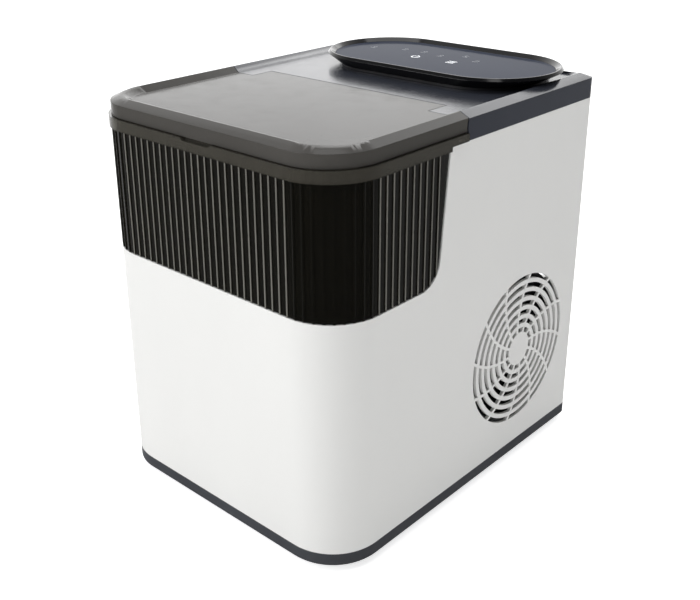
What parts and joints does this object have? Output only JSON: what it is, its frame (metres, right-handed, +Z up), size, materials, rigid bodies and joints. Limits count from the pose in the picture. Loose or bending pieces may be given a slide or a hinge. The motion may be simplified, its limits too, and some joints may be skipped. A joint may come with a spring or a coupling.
{
  "type": "countertop ice maker",
  "caption": "Countertop ice maker with ribbed smoked window, hinged lid, side air grille, touch panel, tilting water tray, ice basket and refrigeration parts inside.",
  "frame": {"origin": "middle of the footprint, on the surface it stands on", "axes": "+Z up, -Y the front with the ribbed window, +X to the right seen from the front"},
  "size_m": [0.237, 0.293, 0.3026],
  "materials": {
    "shell_white": "semi-gloss moulded",
    "rear_white": "fine texture",
    "base_grey": "fine texture",
    "foot_rubber": "matte",
    "smoked_window": "ribbed, smoked, see-through",
    "smoked_lid": "polished, smoked",
    "cover_grey": "polished",
    "pin_steel": "ground",
    "screw_steel": "zinc plated",
    "panel_black": "polished black",
    "touch_glass": "polished, blue-grey",
    "circuit_green": "lacquered circuit board",
    "liner_white": "smooth, food-safe",
    "foam": "blown foam",
    "basket_plastic": "smooth",
    "mechanism_plastic": "smooth",
    "tray_plastic": "smooth",
    "plated_copper": "nickel plated",
    "tube_copper": "drawn copper tube",
    "fin_aluminium": "thin sheet",
    "black_enamel": "satin enamel",
    "black_plastic": "fine texture",
    "motor_steel": "satin",
    "mount_rubber": "matte",
    "hose_silicone": "soft, milky",
    "pump_plastic": "smooth"
  },
  "bodies": {
    "housing": {"outer_shell": "shell_white", "rear_panel": "rear_white", "base_tray": "base_grey", "rubber_feet": "foot_rubber", "front_window": "smoked_window", "top_cover": "cover_grey", "hinge_pins": "pin_steel", "rear_panel_screws": "screw_steel", "control_bezel": "panel_black", "panel_plinth": "panel_black", "touch_lens": "touch_glass", "display_board": "circuit_green", "power_board": "circuit_green", "chamber_liner": "liner_white", "bulkhead": "liner_white", "foam_insulation": "foam", "ice_chute": "mechanism_plastic", "mechanism_frame": "mechanism_plastic", "board_bracket": "mechanism_plastic", "evaporator": "plated_copper", "suction_pipe": "tube_copper", "evaporator_feed": "tube_copper", "hot_gas_pipe": "tube_copper", "liquid_pipe": "tube_copper", "discharge_pipe": "tube_copper", "capillary_tube": "tube_copper", "filter_drier": "tube_copper", "condenser_coil": "tube_copper", "condenser_fins": "fin_aluminium", "condenser_frame": "fin_aluminium", "compressor": "black_enamel", "relay_cover": "black_plastic", "fan_shroud": "black_plastic", "gas_valve": "black_plastic", "tray_motor": "black_plastic", "ice_sensors": "black_plastic", "water_probes": "black_plastic", "fan_motor": "motor_steel", "compressor_grommets": "mount_rubber", "cord_gland": "mount_rubber", "fill_hose": "hose_silicone", "pump_hose": "hose_silicone", "water_pump": "pump_plastic", "drain_spout": "pump_plastic"},
    "lid": {"lid": "smoked_lid"},
    "basket": {"ice_basket": "basket_plastic"},
    "fan": {"fan_rotor": "black_plastic"},
    "tray": {"water_tray": "tray_plastic"},
    "pusher": {"ice_pusher": "tray_plastic"},
    "drain_plug": {"drain_plug": "mount_rubber"}
  },
  "joints": [
    {"name": "lid_hinge", "type": "hinge", "parent": "housing", "child": "lid", "pos_m": [0, -0.003, 0.287], "axis": [-1, 0, 0], "range_deg": [0, 95]},
    {"name": "basket_lift", "type": "slide", "parent": "housing", "child": "basket", "axis": [0, 0, 1], "range_m": [0, 0.022]},
    {"name": "fan_spin", "type": "hinge", "parent": "housing", "child": "fan", "pos_m": [0.0965, 0.0616, 0.0969], "axis": [1, 0, 0], "continuous": true},
    {"name": "tray_tilt", "type": "hinge", "parent": "housing", "child": "tray", "pos_m": [0, -0.046, 0.245], "axis": [1, 0, 0], "range_deg": [0, 70]},
    {"name": "pusher_slide", "type": "slide", "parent": "housing", "child": "pusher", "axis": [0, 1, 0], "range_m": [0, 0.05]},
    {"name": "drain_plug_pull", "type": "slide", "parent": "housing", "child": "drain_plug", "axis": [-1, 0, 0], "range_m": [0, 0.025]}
  ],
  "couplings": [
    {"joint": "pusher_slide", "follows": "tray_tilt", "m_per_rad": 0.0405}
  ]
}
